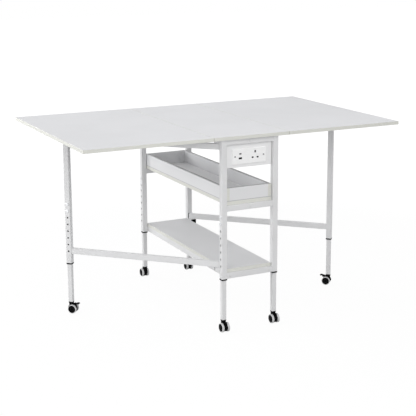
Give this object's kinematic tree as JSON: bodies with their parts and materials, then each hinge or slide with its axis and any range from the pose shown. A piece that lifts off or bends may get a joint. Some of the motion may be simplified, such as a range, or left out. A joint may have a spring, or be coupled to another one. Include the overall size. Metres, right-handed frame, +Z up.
{
  "type": "folding cutting table",
  "caption": "White folding cutting table: narrow frame on casters with tray, shelf and power outlet; drop leaves rest on swing-out gate legs of adjustable height.",
  "frame": {"origin": "on the floor under the middle of the table top", "axes": "+X along the table's length, +Y away from the outlet end, +Z up"},
  "size_m": [1.5, 0.92, 0.856],
  "materials": {
    "worktop_laminate": "matt white laminate on board, pale edging",
    "storage_laminate": "matt white laminate on board",
    "white_paint": "satin white powder coat on steel tube",
    "outlet_white": "glossy white moulding",
    "outlet_dark": "black moulding",
    "black_plastic": "satin black moulding",
    "grey_tyre": "soft light grey tread",
    "zinc_steel": "bright zinc plate"
  },
  "bodies": {
    "frame": {"center_board": "worktop_laminate", "center_hinge_wings": "zinc_steel", "leaf_hinge_pins": "zinc_steel", "near_left_post": "white_paint", "near_right_post": "white_paint", "far_left_post": "white_paint", "far_right_post": "white_paint", "end_rails": "white_paint", "shelf_board": "storage_laminate", "tray_floor": "storage_laminate", "tray_walls": "storage_laminate", "outlet_panel": "storage_laminate", "outlet_faceplate": "outlet_white", "outlet_housing": "outlet_dark", "outlet_screws": "zinc_steel", "gate_hinge_stubs": "white_paint", "gate_hinge_caps": "black_plastic", "gate_pivot_bolts": "zinc_steel", "post_collars": "black_plastic", "post_lock_screws": "zinc_steel"},
    "left_leaf": {"left_leaf": "worktop_laminate", "left_leaf_hinge_wings": "zinc_steel"},
    "left_gate": {"left_gate_leg": "white_paint", "left_gate_rails": "white_paint", "left_gate_tail_caps": "black_plastic", "left_gate_collar": "black_plastic", "left_gate_lock_screws": "zinc_steel"},
    "right_leaf": {"right_leaf": "worktop_laminate", "right_leaf_hinge_wings": "zinc_steel"},
    "right_gate": {"right_gate_leg": "white_paint", "right_gate_rails": "white_paint", "right_gate_tail_caps": "black_plastic", "right_gate_collar": "black_plastic", "right_gate_lock_screws": "zinc_steel"},
    "near_left_inner_leg": {"near_left_inner_tube": "white_paint"},
    "near_left_caster": {"near_left_caster_body": "black_plastic"},
    "near_left_wheels": {"near_left_caster_wheels": "black_plastic", "near_left_caster_tyres": "grey_tyre"},
    "near_right_inner_leg": {"near_right_inner_tube": "white_paint"},
    "near_right_caster": {"near_right_caster_body": "black_plastic"},
    "near_right_wheels": {"near_right_caster_wheels": "black_plastic", "near_right_caster_tyres": "grey_tyre"},
    "far_left_inner_leg": {"far_left_inner_tube": "white_paint"},
    "far_left_caster": {"far_left_caster_body": "black_plastic"},
    "far_left_wheels": {"far_left_caster_wheels": "black_plastic", "far_left_caster_tyres": "grey_tyre"},
    "far_right_inner_leg": {"far_right_inner_tube": "white_paint"},
    "far_right_caster": {"far_right_caster_body": "black_plastic"},
    "far_right_wheels": {"far_right_caster_wheels": "black_plastic", "far_right_caster_tyres": "grey_tyre"},
    "left_gate_inner_leg": {"left_gate_inner_tube": "white_paint"},
    "left_gate_caster": {"left_gate_caster_body": "black_plastic"},
    "left_gate_wheels": {"left_gate_caster_wheels": "black_plastic", "left_gate_caster_tyres": "grey_tyre"},
    "left_gate_brake": {"left_gate_brake_lever": "black_plastic"},
    "right_gate_inner_leg": {"right_gate_inner_tube": "white_paint"},
    "right_gate_caster": {"right_gate_caster_body": "black_plastic"},
    "right_gate_wheels": {"right_gate_caster_wheels": "black_plastic", "right_gate_caster_tyres": "grey_tyre"},
    "right_gate_brake": {"right_gate_brake_lever": "black_plastic"}
  },
  "joints": [
    {"name": "left_leaf_lift", "type": "hinge", "parent": "frame", "child": "left_leaf", "pos_m": [-0.1795, 0, 0.837], "axis": [0, 1, 0], "range_deg": [0, 5]},
    {"name": "right_leaf_lift", "type": "hinge", "parent": "frame", "child": "right_leaf", "pos_m": [0.1795, 0, 0.837], "axis": [0, -1, 0], "range_deg": [0, 5]},
    {"name": "left_gate_swing", "type": "hinge", "parent": "frame", "child": "left_gate", "pos_m": [-0.1235, -0.39997, 0.5], "axis": [0, 0, -1], "range_deg": [0, 45.6]},
    {"name": "right_gate_swing", "type": "hinge", "parent": "frame", "child": "right_gate", "pos_m": [0.1235, 0.39997, 0.5], "axis": [0, 0, -1], "range_deg": [0, 45.6]},
    {"name": "near_left_height", "type": "slide", "parent": "frame", "child": "near_left_inner_leg", "axis": [0, 0, -1], "range_m": [0, 0.186]},
    {"name": "near_left_swivel", "type": "hinge", "parent": "near_left_inner_leg", "child": "near_left_caster", "pos_m": [-0.1235, -0.431, 0.05], "axis": [0, 0, 1], "continuous": true},
    {"name": "near_left_roll", "type": "hinge", "parent": "near_left_caster", "child": "near_left_wheels", "pos_m": [-0.1235, -0.44, 0.02], "axis": [-1, 0, 0], "continuous": true},
    {"name": "near_right_height", "type": "slide", "parent": "frame", "child": "near_right_inner_leg", "axis": [0, 0, -1], "range_m": [0, 0.186]},
    {"name": "near_right_swivel", "type": "hinge", "parent": "near_right_inner_leg", "child": "near_right_caster", "pos_m": [0.1235, -0.431, 0.05], "axis": [0, 0, 1], "continuous": true},
    {"name": "near_right_roll", "type": "hinge", "parent": "near_right_caster", "child": "near_right_wheels", "pos_m": [0.1235, -0.44, 0.02], "axis": [-1, 0, 0], "continuous": true},
    {"name": "far_left_height", "type": "slide", "parent": "frame", "child": "far_left_inner_leg", "axis": [0, 0, -1], "range_m": [0, 0.186]},
    {"name": "far_left_swivel", "type": "hinge", "parent": "far_left_inner_leg", "child": "far_left_caster", "pos_m": [-0.1235, 0.431, 0.05], "axis": [0, 0, 1], "continuous": true},
    {"name": "far_left_roll", "type": "hinge", "parent": "far_left_caster", "child": "far_left_wheels", "pos_m": [-0.1235, 0.44, 0.02], "axis": [1, 0, 0], "continuous": true},
    {"name": "far_right_height", "type": "slide", "parent": "frame", "child": "far_right_inner_leg", "axis": [0, 0, -1], "range_m": [0, 0.186]},
    {"name": "far_right_swivel", "type": "hinge", "parent": "far_right_inner_leg", "child": "far_right_caster", "pos_m": [0.1235, 0.431, 0.05], "axis": [0, 0, 1], "continuous": true},
    {"name": "far_right_roll", "type": "hinge", "parent": "far_right_caster", "child": "far_right_wheels", "pos_m": [0.1235, 0.44, 0.02], "axis": [1, 0, 0], "continuous": true},
    {"name": "left_gate_height", "type": "slide", "parent": "left_gate", "child": "left_gate_inner_leg", "axis": [0, 0, -1], "range_m": [0, 0.186]},
    {"name": "left_gate_swivel", "type": "hinge", "parent": "left_gate_inner_leg", "child": "left_gate_caster", "pos_m": [-0.62935, 0.09539, 0.05], "axis": [0, 0, 1], "continuous": true},
    {"name": "left_gate_roll", "type": "hinge", "parent": "left_gate_caster", "child": "left_gate_wheels", "pos_m": [-0.62292, 0.08909, 0.02], "axis": [-0.6997, -0.7145, 0], "continuous": true},
    {"name": "left_gate_brake_press", "type": "hinge", "parent": "left_gate_caster", "child": "left_gate_brake", "pos_m": [-0.61206, 0.07846, 0.04171], "axis": [0.6997, 0.7145, 0], "range_deg": [0, 25]},
    {"name": "right_gate_height", "type": "slide", "parent": "right_gate", "child": "right_gate_inner_leg", "axis": [0, 0, -1], "range_m": [0, 0.186]},
    {"name": "right_gate_swivel", "type": "hinge", "parent": "right_gate_inner_leg", "child": "right_gate_caster", "pos_m": [0.62935, -0.09539, 0.05], "axis": [0, 0, 1], "continuous": true},
    {"name": "right_gate_roll", "type": "hinge", "parent": "right_gate_caster", "child": "right_gate_wheels", "pos_m": [0.62292, -0.08909, 0.02], "axis": [0.6997, 0.7145, 0], "continuous": true},
    {"name": "right_gate_brake_press", "type": "hinge", "parent": "right_gate_caster", "child": "right_gate_brake", "pos_m": [0.61206, -0.07846, 0.04171], "axis": [-0.6997, -0.7145, 0], "range_deg": [0, 25]}
  ]
}
